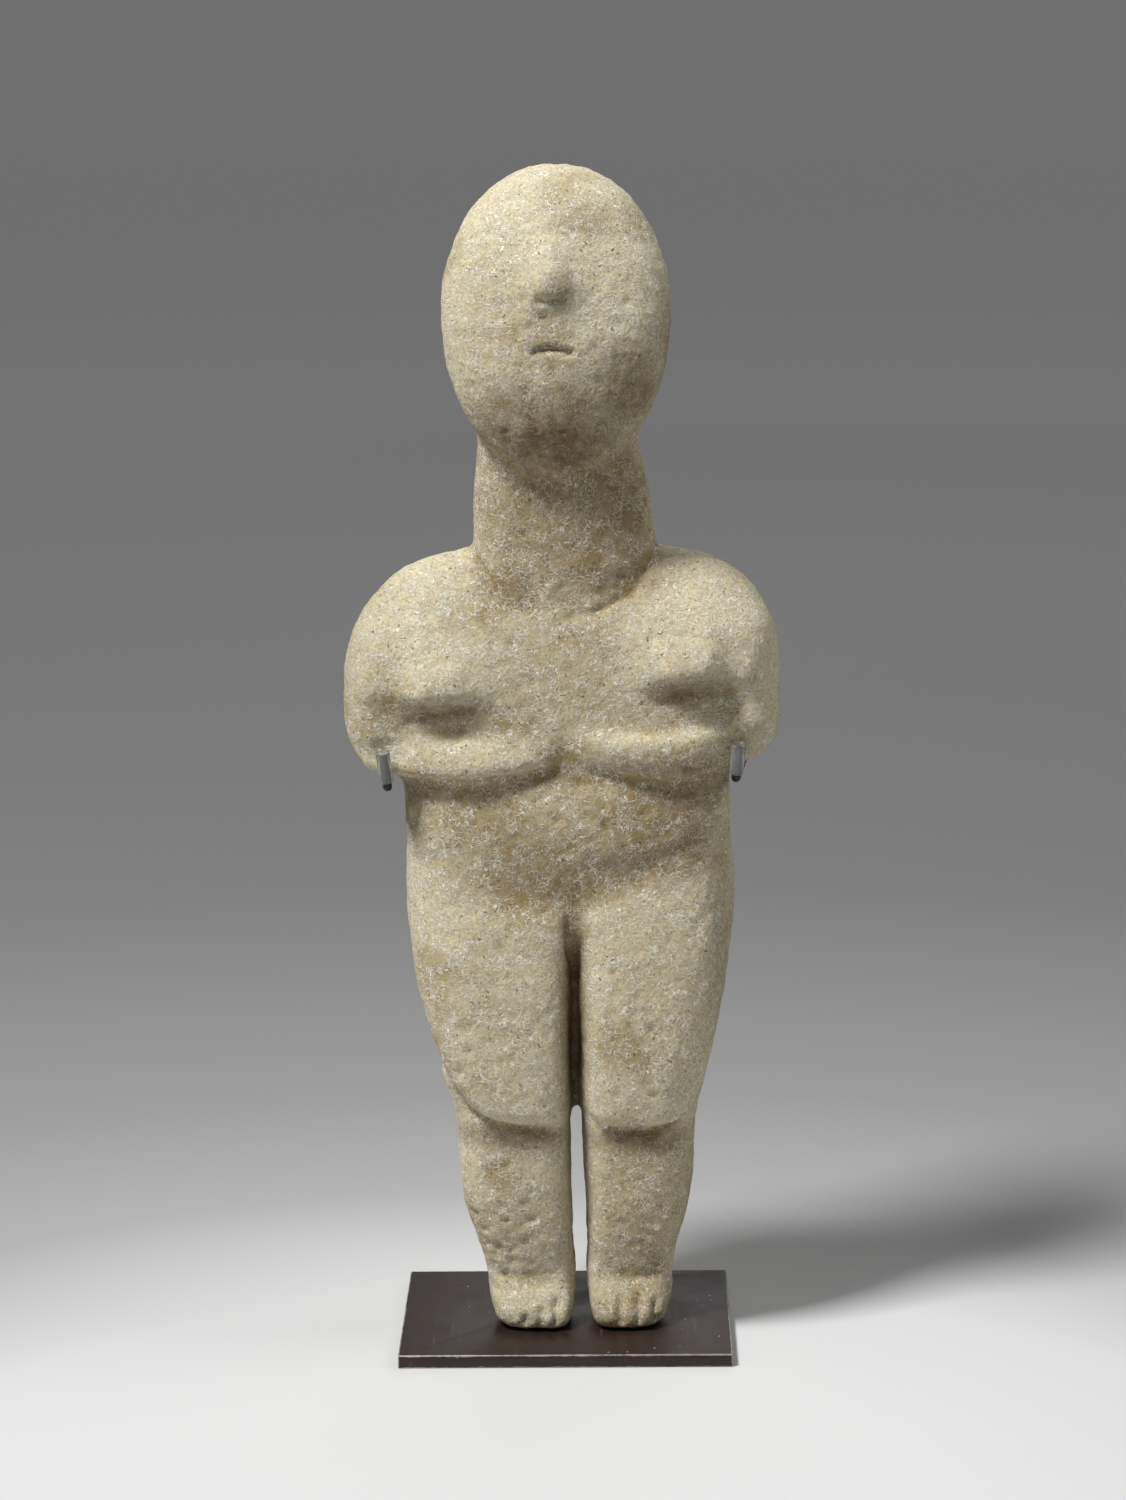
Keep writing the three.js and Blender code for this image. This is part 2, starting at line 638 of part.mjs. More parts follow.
// The wire runs from one prong's tip back under the elbow, across behind the figurine and
// forward again to the other tip. Its corners are rounded.
function wireRoute() {
  const wireEnd = PRONG_START + SLEEVE.length - SLEEVE.past;
  const { left, right } = PRONGS;
  const corners = [
    prongAt(left, wireEnd),
    left.foot,
    new THREE.Vector3(left.foot.x - WIRE.spread, WIRE.backY, left.foot.z),
    new THREE.Vector3(right.foot.x + WIRE.spread, WIRE.backY, right.foot.z),
    right.foot,
    prongAt(right, wireEnd),
  ];
  const points = [corners[0]];
  for (let i = 1; i < corners.length - 1; i++) {
    const [before, corner, after] = corners.slice(i - 1, i + 2);
    const bend = corner.y > 0 ? WIRE.backBend : WIRE.bend;
    const enter = corner.clone().add(before.clone().sub(corner).setLength(bend));
    const leave = corner.clone().add(after.clone().sub(corner).setLength(bend));
    points.push(...new THREE.QuadraticBezierCurve3(enter, corner, leave).getPoints(BEND_STEPS));
  }
  points.push(corners[corners.length - 1]);
  return points;
}

// A curve that is sampled at exactly the points given.
class Route extends THREE.Curve {
  constructor(points) {
    super();
    this.points = points;
  }

  getPoint(t) {
    return this.points[Math.round(t * (this.points.length - 1))].clone();
  }

  getPointAt(t) {
    return this.getPoint(t);
  }

  getTangentAt(t) {
    const i = Math.round(t * (this.points.length - 1));
    const before = this.points[Math.max(i - 1, 0)];
    const after = this.points[Math.min(i + 1, this.points.length - 1)];
    return after.clone().sub(before).normalize();
  }
}

function wireGeometry() {
  const points = wireRoute();
  const section = new THREE.Shape();
  section.absarc(0, 0, WIRE.radius, 0, 2 * Math.PI);
  return new THREE.ExtrudeGeometry(section, {
    steps: points.length - 1,
    curveSegments: 5,
    extrudePath: new Route(points),
  });
}

function cradleGeometry() {
  const { left, right } = PRONGS;
  const along = (POST.x - left.foot.x) / (right.foot.x - left.foot.x);
  const wireZ = lerp(left.foot.z, right.foot.z, along);
  const low = PLATE.thickness - POST.socket;
  const post = upright(POST.x, POST.y, low, wireZ, POST.radius, 20);
  const braze = new THREE.SphereGeometry(POST.radius + 0.3, 16, 10).translate(POST.x, POST.y, wireZ);
  return geometryOf(solidOf(post).add(solidOf(braze)).add(solidOf(wireGeometry())));
}

// ---------------------------------------------------------------- sleeves

// A short length of clear tube over each prong, open at both ends.
function sleeveGeometry(prong) {
  const { inner, outer, length } = SLEEVE;
  const profile = [[inner, 0], [outer, 0], [outer, length], [inner, length], [inner, 0]];
  const turn = new THREE.Quaternion().setFromUnitVectors(new THREE.Vector3(0, 1, 0), prong.lean);
  return new THREE.LatheGeometry(profile.map(([r, h]) => new THREE.Vector2(r, h)), 20)
    .applyQuaternion(turn)
    .translate(...prongAt(prong, PRONG_START));
}

// ---------------------------------------------------------------- the object

const marble = new THREE.MeshStandardMaterial({ color: 0xc9bd9c, roughness: 0.75, metalness: 0 });
const brownedSteel = new THREE.MeshStandardMaterial({ color: 0x33241f, roughness: 0.4, metalness: 0.6 });
const darkWire = new THREE.MeshStandardMaterial({ color: 0x23211f, roughness: 0.5, metalness: 0.6 });
const clearTube = new THREE.MeshStandardMaterial({
  color: 0xe8ecec,
  roughness: 0.1,
  metalness: 0,
  transparent: true,
  opacity: 0.4,
});

function named(name, geometry, material) {
  const mesh = new THREE.Mesh(geometry, material);
  mesh.name = name;
  return mesh;
}

const object = new THREE.Group();
object.add(
  named("figurine", figurineGeometry(), marble),
  named("base_plate", plateGeometry(), brownedSteel),
  named("cradle", cradleGeometry(), darkWire),
  named("sleeve_left", sleeveGeometry(PRONGS.left), clearTube),
  named("sleeve_right", sleeveGeometry(PRONGS.right), clearTube),
);

const middle = new THREE.Box3().setFromObject(object).getCenter(new THREE.Vector3());
object.position.set(-middle.x, -middle.y, 0);

export default object;
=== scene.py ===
import math

import bpy
import numpy as np
from mathutils import Matrix, Vector


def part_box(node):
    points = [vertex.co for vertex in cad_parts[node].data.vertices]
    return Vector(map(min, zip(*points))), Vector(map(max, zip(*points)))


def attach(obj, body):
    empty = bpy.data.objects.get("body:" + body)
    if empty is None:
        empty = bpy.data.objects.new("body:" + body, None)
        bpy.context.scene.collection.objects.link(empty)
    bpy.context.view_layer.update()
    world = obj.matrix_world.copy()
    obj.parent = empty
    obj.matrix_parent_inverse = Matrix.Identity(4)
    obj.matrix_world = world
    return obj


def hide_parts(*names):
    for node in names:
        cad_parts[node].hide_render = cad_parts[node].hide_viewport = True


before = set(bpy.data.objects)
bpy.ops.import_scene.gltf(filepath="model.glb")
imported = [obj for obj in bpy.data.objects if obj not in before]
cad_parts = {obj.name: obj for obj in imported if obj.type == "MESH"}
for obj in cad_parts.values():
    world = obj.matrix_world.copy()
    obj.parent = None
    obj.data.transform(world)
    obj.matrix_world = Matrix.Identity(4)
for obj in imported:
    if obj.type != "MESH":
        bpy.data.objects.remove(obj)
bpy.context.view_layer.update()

# ---------------------------------------------------------------- marble figure
# The figure is carved from one block of coarse white island marble, rubbed to shape with emery. It
# has no joins. The stone starts from the solid in the frame, made even and soft-edged all over, so
# that the finer carving can be cut into it.

MM = 0.001
GRAIN_OF_MESH = 0.87 * MM
SAME_PLACE = 0.01 * MM
ROUNDS_OF_RUBBING = 5


def pick(piece):
    bpy.ops.object.select_all(action="DESELECT")
    piece.select_set(True)
    bpy.context.view_layer.objects.active = piece


def work(piece, kind, **settings):
    """Puts one modifier on the piece and applies it."""
    pick(piece)
    modifier = piece.modifiers.new(kind.title(), kind)
    for name, value in settings.items():
        setattr(modifier, name, value)
    bpy.ops.object.modifier_apply(modifier=modifier.name)


figure = bpy.data.objects.new("marble_figure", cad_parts["figurine"].data.copy())
bpy.context.scene.collection.objects.link(figure)
pick(figure)
bpy.ops.object.mode_set(mode="EDIT")
bpy.ops.mesh.select_all(action="SELECT")
bpy.ops.mesh.remove_doubles(threshold=SAME_PLACE)
bpy.ops.object.mode_set(mode="OBJECT")
bpy.ops.mesh.customdata_custom_splitnormals_clear()
work(figure, "SUBSURF", levels=2, render_levels=2)
work(figure, "REMESH", mode="VOXEL", voxel_size=GRAIN_OF_MESH)
work(figure, "SMOOTH", factor=0.5, iterations=ROUNDS_OF_RUBBING)


def places(piece):
    points = np.empty(len(piece.data.vertices) * 3)
    piece.data.vertices.foreach_get("co", points)
    return points.reshape(-1, 3) / MM


def put_back(piece, points):
    piece.data.vertices.foreach_set("co", (points * MM).ravel())
    piece.data.update()


def outward(piece):
    normal = np.empty(len(piece.data.vertices) * 3)
    piece.data.vertex_normals.foreach_get("vector", normal)
    return normal.reshape(-1, 3)


def edges_of(piece):
    edges = np.empty(len(piece.data.edges) * 2, int)
    piece.data.edges.foreach_get("vertices", edges)
    return edges.reshape(-1, 2)


def neighbours_mean(values, edges):
    count = len(values)
    total = np.zeros_like(values)
    for axis in range(values.shape[1]):
        total[:, axis] += np.bincount(edges[:, 0], values[edges[:, 1], axis], count)
        total[:, axis] += np.bincount(edges[:, 1], values[edges[:, 0], axis], count)
    share = np.bincount(edges.ravel(), minlength=count)
    return total / share[:, None]


def reach_to(path, x, z):
    """How far each place is from the path, and how far along it from 0 to 1."""
    path = np.array(path, float)
    spans = np.hypot(*(path[1:] - path[:-1]).T)
    start = np.concatenate([[0], np.cumsum(spans)])
    best = np.full(len(x), np.inf)
    along = np.zeros(len(x))
    for (ax, az), (bx, bz), span, s in zip(path[:-1], path[1:], spans, start):
        t = ((x - ax) * (bx - ax) + (z - az) * (bz - az)) / span**2
        t = np.clip(t, 0, 1)
        away = np.hypot(x - ax - t * (bx - ax), z - az - t * (bz - az))
        nearer = away < best
        best = np.where(nearer, away, best)
        along = np.where(nearer, (s + t * span) / start[-1], along)
    return best, along


# Mouth, toes, knee rims and the foot of the neck are cut into the front with a point and abraded
# soft. Each cut is a path of (x, z) places in millimetres, seen from the front, with its depth, its
# half width, and the share of its length over which each end fades. A depth below 0 is a swelling.
CUTS = [
    ([(-6.8, 253.6), (-3.0, 254.5), (0.4, 254.2), (4.8, 253.7)], 1.2, 0.75, 0.12),  # mouth
    ([(-1.6, 282.0), (-1.7, 269.5)], -0.9, 2.6, 0.4),  # ridge of the nose
    ([(-5.6, 266.6), (-1.6, 265.9), (2.6, 266.6)], 1.1, 1.0, 0.15),  # under the nose
    ([(-26.9, 68.2), (-24.0, 61.9), (-18.0, 58.7), (-7.5, 56.8), (-0.6, 56.3)], 1.1, 0.9, 0.1),  # knees
    ([(8.4, 58.3), (15.2, 56.2), (21.2, 56.1), (28.8, 59.2), (32.0, 65.2)], 1.2, 0.95, 0.1),
    ([(-2.9, 2.9), (-3.0, 12.6)], 1.7, 0.9, 0.2),  # toes of the right foot
    ([(-6.7, 2.9), (-6.8, 10.4)], 1.6, 0.9, 0.2),
    ([(-10.7, 2.9), (-10.8, 9.0)], 1.3, 0.9, 0.25),
    ([(13.4, 2.9), (13.3, 13.6)], 1.7, 0.95, 0.25),  # toes of the left foot
    ([(18.1, 2.9), (18.0, 14.0)], 1.9, 0.95, 0.25),
    ([(22.3, 2.9), (22.4, 12.4)], 1.6, 0.9, 0.25),
    ([(0.8, 113.5), (1.0, 104.0), (2.0, 98.0)], 1.4, 0.6, 0.2),  # top of the cleft
    ([(29.2, 150.4), (34.0, 149.4), (41.0, 146.8)], 1.3, 0.8, 0.2),  # break under the left elbow
    ([(35.6, 143.2), (38.4, 137.0), (41.6, 129.4)], 0.6, 0.5, 0.2),  # scratch on the left hip
    ([(-37.0, 147.0), (-36.4, 134.0)], 0.9, 1.0, 0.3),  # right side of the waist
    ([(-22.4, 204.5), (-16.8, 194.0), (-11.0, 189.4), (-2, 188.2)], 0.8, 0.9, 0.25),  # foot of the neck
    ([(2, 188.0), (8.3, 188.5), (17.2, 193.0), (24.8, 204.0)], 1.1, 0.9, 0.25),
    ([(-40.0, 162.0), (-28.0, 164.5), (-18.0, 167.5)], 1.2, 1.3, 0.3),  # under the breasts
    ([(23.0, 166.0), (32.0, 169.5), (41.0, 173.5)], 1.3, 1.3, 0.3),
    ([(-38.0, 171.5), (-29.0, 172.0), (-21.0, 174.0)], -1.0, 4.6, 0.3),  # swell above them
    ([(25.0, 176.0), (33.0, 177.0), (40.0, 179.5)], -1.1, 4.6, 0.3),
    ([(-17.5, 17.5), (-10.0, 16.0), (-3.0, 17.5)], 0.5, 1.5, 0.25),  # ankles
    ([(10.0, 18.0), (17.0, 16.5), (26.0, 18.5)], 0.55, 1.5, 0.25),
]

# The top of the head is rubbed to an even dome. Rubbing shrinks it, so it is swelled back after.
CROWN = {"from": 264, "over": 22, "rounds": 70, "swell": 0.75}
CREST = {"middle": -1.5, "reach": 24, "rise": 1.0}

points = places(figure)
edges = edges_of(figure)
crown = np.clip((points[:, 2] - CROWN["from"]) / CROWN["over"], 0, 1)
for _ in range(CROWN["rounds"]):
    points += (neighbours_mean(points, edges) - points) * crown[:, None]
points += outward(figure) * (CROWN["swell"] * crown[:, None])
crest = np.clip(1 - ((points[:, 0] - CREST["middle"]) / CREST["reach"]) ** 2, 0, 1)
points[:, 2] += CREST["rise"] * crown * crest
put_back(figure, points)

UNDER_SIDE_FADE = 3.0  # how sharply a cut ends where the stone turns to look down or back
BACKWARD = 0.2  # stone that looks back by more than this isn't cut

facing = outward(figure)
front = np.clip((facing[:, 2] - facing[:, 1]) * UNDER_SIDE_FADE, 0, 1) * (facing[:, 1] < BACKWARD)
for path, depth, half, fade in CUTS:
    away, along = reach_to(path, points[:, 0], points[:, 2])
    ends = np.clip(np.minimum(along, 1 - along) / fade, 0, 1)
    cut = depth * np.exp(-((away / half) ** 2)) * ends * front
    points -= facing * cut[:, None]

# middle of a patch of pits as (x, z), its half sizes, how many pits, and their greatest depth
PITTED = [
    ((-15, 26), (9, 18), 90, 0.65),  # right calf
    ((20, 32), (9, 18), 40, 0.5),
    ((-14, 85), (18, 24), 34, 0.6),  # thighs
    ((22, 85), (16, 24), 34, 0.6),
    ((0, 136), (34, 12), 40, 0.6),  # belly
    ((0, 180), (44, 22), 50, 0.55),  # chest and arms
    ((0, 262), (22, 30), 40, 0.55),  # face
    ((-4, 230), (18, 8), 22, 0.8),  # chin
]
CROWDING = 0.55  # how closely the pits crowd towards the middle of their patch
SMALLEST, LARGEST = 0.4, 0.95
OVAL = 0.8  # a pit is wider than it is high
RIM = 3.0  # sizes from its middle at which a pit has faded out
FORWARD = -0.2

chance = np.random.default_rng(7)
for (mx, mz), (hx, hz), count, deepest in PITTED:
    spots = chance.normal(0, CROWDING, (count, 2)) * (hx, hz) + (mx, mz)
    for (px, pz), size in zip(spots, chance.uniform(SMALLEST, LARGEST, count)):
        away = np.hypot((points[:, 0] - px) * OVAL, points[:, 2] - pz) / size
        near = (away < RIM) & (facing[:, 1] < FORWARD)
        points[near] -= facing[near] * (deepest * size * np.exp(-away[near] ** 2))[:, None]
put_back(figure, points)


def weather(piece, kind, size, height, **settings):
    texture = bpy.data.textures.new("weathering", kind)
    texture.noise_scale = size * MM
    for name, value in settings.items():
        setattr(texture, name, value)
    work(piece, "DISPLACE", texture=texture, strength=height * MM, mid_level=0.5)


# Burial has opened the grain of the marble, so the skin is lumpy and, finer, rough.
weather(figure, "CLOUDS", 9.0, 0.7, noise_depth=2)
weather(figure, "CLOUDS", 2.6, 0.5, noise_depth=1)

bpy.ops.object.shade_smooth()


def hollowness(piece, rounds):
    """How far each place lies below the mean of its surroundings, in millimetres."""
    points = places(piece)
    edges = edges_of(piece)
    mean = points.copy()
    for _ in range(rounds):
        mean = neighbours_mean(mean, edges)
    return ((mean - points) * outward(piece)).sum(1)


def paint(piece, name, values):
    layer = piece.data.attributes.new(name, "FLOAT", "POINT")
    layer.data.foreach_set("value", np.clip(values, 0, 1).astype(np.float32))


# The marble is cream with fine white fibres of crystal. Iron from the soil has stained it tan and brown in
# places, as on the chin, the nose, the brow and the foot of the neck. The tan in the hollows and many of
# the patches are
# painted shade as well as stain: under the breasts, forearms, elbows and knees, in the cleft and the fold
# of the belly, on the neck under the chin, and on sides turned from the light. Patches: centre, radii
# along x, y and z in millimetres, strength.
BROWN_STAIN_AND_SHADE_PATCHES = [
    ((-2, -19, 232), (19, 14, 12), 0.85),  # chin and jaw
    ((-11, -19, 237), (12, 14, 9), 0.7),
    ((6, -20, 241), (12, 14, 8), 0.65),
    ((17, -16, 245), (12, 16, 11), 0.75),
    ((0.4, -25, 269), (4, 5, 3.5), 0.5),  # tip of the nose
    ((8, -16, 285), (8, 9, 4), 0.45),
    ((20, -10, 286), (6, 9, 6), 0.4),
    ((27, -4, 250), (5, 14, 20), 0.85),  # edge of the cheek: stain and painted shade where the side turns from the light
    ((-13, -12, 194), (7, 8, 5), 0.5),  # foot of the neck
    ((15, -10, 198), (10, 8, 8), 0.5),
    # painted shadow of the chin on the neck
    ((14, -8, 220), (12, 12, 16), 0.55),
    ((-8, -12, 214), (14, 10, 12), 0.4),
    ((28, -16, 149), (18, 12, 5), 0.4),  # painted shade on the left forearm and hip
    ((28, -14, 138), (14, 12, 10), 0.3),
    ((0.4, -20, 148), (8, 8, 3), 0.5),  # painted shade between the hands
    ((-30, -17, 165), (12, 8, 3.5), 0.7),  # painted shadow under the breasts
    ((32, -17, 169.5), (11, 8, 4), 0.8),
    ((24, -14, 126), (18, 12, 5), 0.5),  # painted shade in the fold of the belly
    ((-12, -14, 119), (20, 12, 4), 0.4),
    ((2.6, -10, 84), (3.2, 20, 34), 0.9),  # painted shade in the cleft
    ((-14, -14, 55), (16, 14, 3.4), 0.75),  # painted shadow under the knees
    ((19, -14, 54), (14, 14, 3.6), 0.8),
    ((40, 2, 95), (5, 20, 40), 0.55),  # painted shade on the left sides of thigh and calf, and under the right elbow
    ((33, 2, 40), (6, 16, 24), 0.65),
    ((-37, -2, 140), (5, 16, 10), 0.75),
    ((4, -12, 212), (24, 12, 18), 0.38),  # painted shade on the neck and middle of the chest
    ((2, -15, 176), (14, 8, 18), 0.2),
]
EARTHY_STAIN_AND_SHADE_PATCHES = [
    ((4, -16, 134), (38, 16, 18), 0.9),  # belly: earth stain and painted shade
    ((26, -16, 150), (22, 12, 7), 0.8),  # left forearm: painted shade
    ((20, -12, 34), (16, 18, 26), 0.85),
    ((-14, -12, 30), (14, 16, 22), 0.6),
    ((24, -16, 88), (20, 18, 34), 0.5),
    ((-18, -18, 84), (20, 18, 34), 0.35),
    ((18, -10, 222), (16, 14, 20), 0.6),  # neck: painted shade under the chin
    ((2, -12, 212), (28, 16, 24), 1.0),
    ((2, -16, 184), (16, 12, 18), 0.6),  # middle of the chest: painted shade
    ((-14, -16, 262), (14, 14, 18), 0.4),  # right cheek
    ((-48, 0, 176), (10, 18, 26), 0.5),  # arms
    ((49, 0, 176), (9, 18, 26), 0.2),
    ((17, -16, 8), (12, 12, 10), 0.5),
]


PATCH_ENDS = 1.5  # radii from its centre at which a patch has faded out
HOLLOW_ROUNDS = 60


def patches(points, listed):
    share = np.zeros(len(points))
    for centre, radii, strength in listed:
        away = np.sqrt((((points - np.array(centre)) / np.array(radii)) ** 2).sum(1))
        share = np.maximum(share, strength * np.clip(PATCH_ENDS - away, 0, 1))
    return share


points = places(figure)
paint(figure, "brown", patches(points, BROWN_STAIN_AND_SHADE_PATCHES))
paint(figure, "earth_stain_and_shade", patches(points, EARTHY_STAIN_AND_SHADE_PATCHES))
paint(figure, "hollow", hollowness(figure, HOLLOW_ROUNDS))


def nodes_of(material):
    material.use_nodes = True
    tree = material.node_tree
    tree.nodes.clear()
    return tree


def add(tree, kind, links=(), **settings):
    """Adds a node. Links are (input, source) pairs, where a source is a value or an output."""
    made = tree.nodes.new("ShaderNode" + kind)
    for name, value in settings.items():
        setattr(made, name, value)
    for socket, source in links:
        if isinstance(source, bpy.types.NodeSocket):
            tree.links.new(source, made.inputs[socket])
        else:
            made.inputs[socket].default_value = source
    return made


def calc(tree, operation, *sources, clamp=False):
    return add(tree, "Math", enumerate(sources), operation=operation, use_clamp=clamp).outputs[0]


def ramp(tree, source, low, high, to_low=0.0, to_high=1.0):
    made = add(tree, "MapRange", [(0, source), (1, low), (2, high), (3, to_low), (4, to_high)])
    made.interpolation_type = "SMOOTHSTEP"
    return made.outputs[0]


def blend_colour(tree, share, under, over, how="MIX"):
    made = add(tree, "Mix", data_type="RGBA", blend_type=how)
    for socket, source in ((0, share), (6, under), (7, over)):
        if isinstance(source, bpy.types.NodeSocket):
            tree.links.new(source, made.inputs[socket])
        else:
            made.inputs[socket].default_value = source
    return made.outputs[2]


def noise(tree, where, scale, detail=2.0, rough=0.5):
    settings = [("Vector", where), ("Scale", scale), ("Detail", detail), ("Roughness", rough)]
    return add(tree, "TexNoise", settings).outputs["Fac"]


WANDER = {"scale": 420.0, "reach": 0.0036}  # how the fibres curl
COARSE_FIBRES = {"scale": 600.0, "thick": 0.072}
THIN_FIBRES = {"scale": 1250.0, "thick": 0.10}
SKIN_RELIEF = 0.3 * MM

marble = bpy.data.materials.new("island_marble")
tree = nodes_of(marble)
where = add(tree, "TexCoord").outputs["Object"]
curl = [("Vector", where), ("Scale", WANDER["scale"]), ("Detail", 2.0)]
wander = add(tree, "TexNoise", curl).outputs["Color"]
wander = add(tree, "VectorMath", [(0, wander), (1, (0.5, 0.5, 0.5))], operation="SUBTRACT").outputs[0]
wander = add(tree, "VectorMath", [(0, wander), ("Scale", WANDER["reach"])], operation="SCALE").outputs[0]
bent = add(tree, "VectorMath", [(0, where), (1, wander)], operation="ADD").outputs[0]


def fibres(scale, thick):
    cells = add(tree, "TexVoronoi", [("Vector", bent), ("Scale", scale)], feature="DISTANCE_TO_EDGE")
    return ramp(tree, cells.outputs["Distance"], 0.0, thick, 1.0, 0.0)


broken = ramp(tree, noise(tree, where, 260.0, 1.0), 0.40, 0.56)
broken_finer = ramp(tree, noise(tree, where, 330.0, 1.0), 0.4, 0.58)
coarse = calc(tree, "MULTIPLY", fibres(**COARSE_FIBRES), broken)
thin = calc(tree, "MULTIPLY", fibres(**THIN_FIBRES), broken_finer)
white = calc(tree, "MAXIMUM", coarse, thin)
mottle = noise(tree, where, 1300.0, 2.0)
specks = ramp(tree, noise(tree, bent, 1500.0, 1.0), 0.34, 0.24)
hollow = add(tree, "Attribute", attribute_name="hollow").outputs["Fac"]
browned = add(tree, "Attribute", attribute_name="brown").outputs["Fac"]
earth_stain_and_shade_mask = add(tree, "Attribute", attribute_name="earth_stain_and_shade").outputs["Fac"]
cloud = noise(tree, where, 42.0, 6.0, 0.62)
cloud_fine = noise(tree, where, 260.0, 4.0, 0.6)

CREAM = (0.715, 0.645, 0.435, 1)
GREY_CREAM = (0.55, 0.48, 0.30, 1)
TAN = (0.37, 0.285, 0.135, 1)
BROWN = (0.145, 0.085, 0.024, 1)
WHITE = (0.97, 0.94, 0.82, 1)
PIN = (0.16, 0.115, 0.06, 1)

colour = blend_colour(tree, ramp(tree, mottle, 0.38, 0.62), GREY_CREAM, CREAM)
# Tan comes from random clouds of stain, from the earthy patches, which are stain and painted shade, and
# from the hollows.
tan_stain_and_shade_share = calc(tree, "MULTIPLY", earth_stain_and_shade_mask, ramp(tree, cloud_fine, 0.3, 0.65, 0.45, 1.0))
tan_stain_and_shade_share = calc(tree, "ADD", tan_stain_and_shade_share, ramp(tree, cloud, 0.5, 0.66, 0.0, 0.7))
# the hollows are painted tan, part stain and part painted shade
tan_stain_and_shade_share = calc(tree, "ADD", tan_stain_and_shade_share, calc(tree, "MULTIPLY", hollow, 0.8), clamp=True)
colour = blend_colour(tree, tan_stain_and_shade_share, colour, TAN)
# Brown is real stain on the chin, nose, brow and foot of the neck, and painted shade in the undershadows,
# creases, on the neck and on sides turned from the light.
brown_stain_and_shade_share = calc(tree, "MULTIPLY", browned, ramp(tree, cloud_fine, 0.3, 0.66, 0.6, 1.0), clamp=True)
colour = blend_colour(tree, brown_stain_and_shade_share, colour, BROWN)
white_share = calc(tree, "MULTIPLY", white, ramp(tree, brown_stain_and_shade_share, 0.0, 1.0, 0.9, 0.14))
colour = blend_colour(tree, white_share, colour, WHITE)
colour = blend_colour(tree, calc(tree, "MULTIPLY", specks, 0.85), colour, PIN)

height = calc(tree, "ADD", calc(tree, "MULTIPLY", white, 0.7), calc(tree, "MULTIPLY", mottle, 1.2))
height = calc(tree, "SUBTRACT", height, calc(tree, "MULTIPLY", specks, 1.2))
bump = add(tree, "Bump", [("Strength", 0.7), ("Distance", SKIN_RELIEF), ("Height", height)])
shader = add(
    tree,
    "BsdfPrincipled",
    [
        ("Base Color", colour),
        ("Roughness", ramp(tree, white, 0.0, 1.0, 0.72, 0.5)),
        ("Normal", bump.outputs[0]),
        ("Specular IOR Level", 0.35),
    ],
)
add(tree, "OutputMaterial", [("Surface", shader.outputs[0])])

figure.data.materials.clear()
figure.data.materials.append(marble)
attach(figure, "root")
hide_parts("figurine")

# ---------------------------------------------------------------- base plate
# A plate of hot-rolled steel, sawn to size, its edges broken with a file and the whole browned and
# waxed. The browning is rubbed through to bright metal along the edges. A blind hole holds the post.

plate_low, plate_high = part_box("base_plate")
plate_size = plate_high - plate_low
plate_middle = (plate_low + plate_high) / 2
bpy.ops.object.select_all(action="DESELECT")
bpy.ops.mesh.primitive_cube_add(size=1, location=plate_middle, scale=plate_size)
plate = bpy.context.object
plate.name = "steel_plate"
bpy.ops.object.transform_apply(location=True, rotation=True, scale=True)

post_low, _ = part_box("cradle")
POST_X = 13.56 * MM
POST_Y = 25.0 * MM
POST_RADIUS = 2.2 * MM
SOCKET_GAP = 0.3 * MM
SOCKET_FLOOR = post_low.z - SOCKET_GAP
DRILL_LENGTH = 10 * MM
FILED_EDGE = 0.35 * MM
SHARP = math.radians(40)  # edges sharper than this are broken with a file
SMOOTH = math.radians(35)

bpy.ops.object.select_all(action="DESELECT")
bpy.ops.mesh.primitive_cylinder_add(
    vertices=48,
    radius=POST_RADIUS + SOCKET_GAP,
    depth=DRILL_LENGTH,
    location=(POST_X, POST_Y, SOCKET_FLOOR + DRILL_LENGTH / 2),
)
drill = bpy.context.object
work(plate, "BOOLEAN", object=drill, operation="DIFFERENCE", solver="EXACT")
bpy.data.objects.remove(drill)
work(plate, "BEVEL", width=FILED_EDGE, segments=3, limit_method="ANGLE", angle_limit=SHARP)
bpy.ops.object.shade_smooth_by_angle(angle=SMOOTH)


def browned_steel_skin():
    """A group shared by the steel pieces: mottled browning, its gloss, and its tooth."""
    group = bpy.data.node_groups.new("browned_steel_skin", "ShaderNodeTree")
    for name, kind in (("Vector", "NodeSocketVector"), ("Scale", "NodeSocketFloat")):
        group.interface.new_socket(name, in_out="INPUT", socket_type=kind)
    for name in ("Mottle", "Scratches", "Dust"):
        group.interface.new_socket(name, in_out="OUTPUT", socket_type="NodeSocketFloat")
    enter = group.nodes.new("NodeGroupInput").outputs
    leave = group.nodes.new("NodeGroupOutput").inputs
    sized = add(group, "VectorMath", [(0, enter["Vector"]), ("Scale", enter["Scale"])], operation="SCALE")
    at = sized.outputs[0]
    mottled = noise(group, at, 60.0, 6.0, 0.65)
    group.links.new(ramp(group, mottled, 0.35, 0.68), leave["Mottle"])
    drawn_out = [("Vector", at), ("Rotation", (0, 0, 0.5)), ("Scale", (1.0, 0.06, 1.0))]
    turned = add(group, "Mapping", drawn_out)
    lines = noise(group, turned.outputs[0], 700.0, 3.0, 0.6)
    group.links.new(ramp(group, lines, 0.63, 0.72), leave["Scratches"])
    dots = add(group, "TexVoronoi", [("Vector", at), ("Scale", 260.0)])
    near = ramp(group, dots.outputs["Distance"], 0.09, 0.05)
    chosen = ramp(group, noise(group, at, 90.0, 2.0), 0.55, 0.6)
    group.links.new(calc(group, "MULTIPLY", near, chosen), leave["Dust"])
    return group


steel_skin = browned_steel_skin()


def with_skin(tree, scale):
    at = add(tree, "TexCoord").outputs["Object"]
    skin = add(tree, "Group")
    skin.node_tree = steel_skin
    tree.links.new(at, skin.inputs["Vector"])
    skin.inputs["Scale"].default_value = scale
    return at, skin.outputs


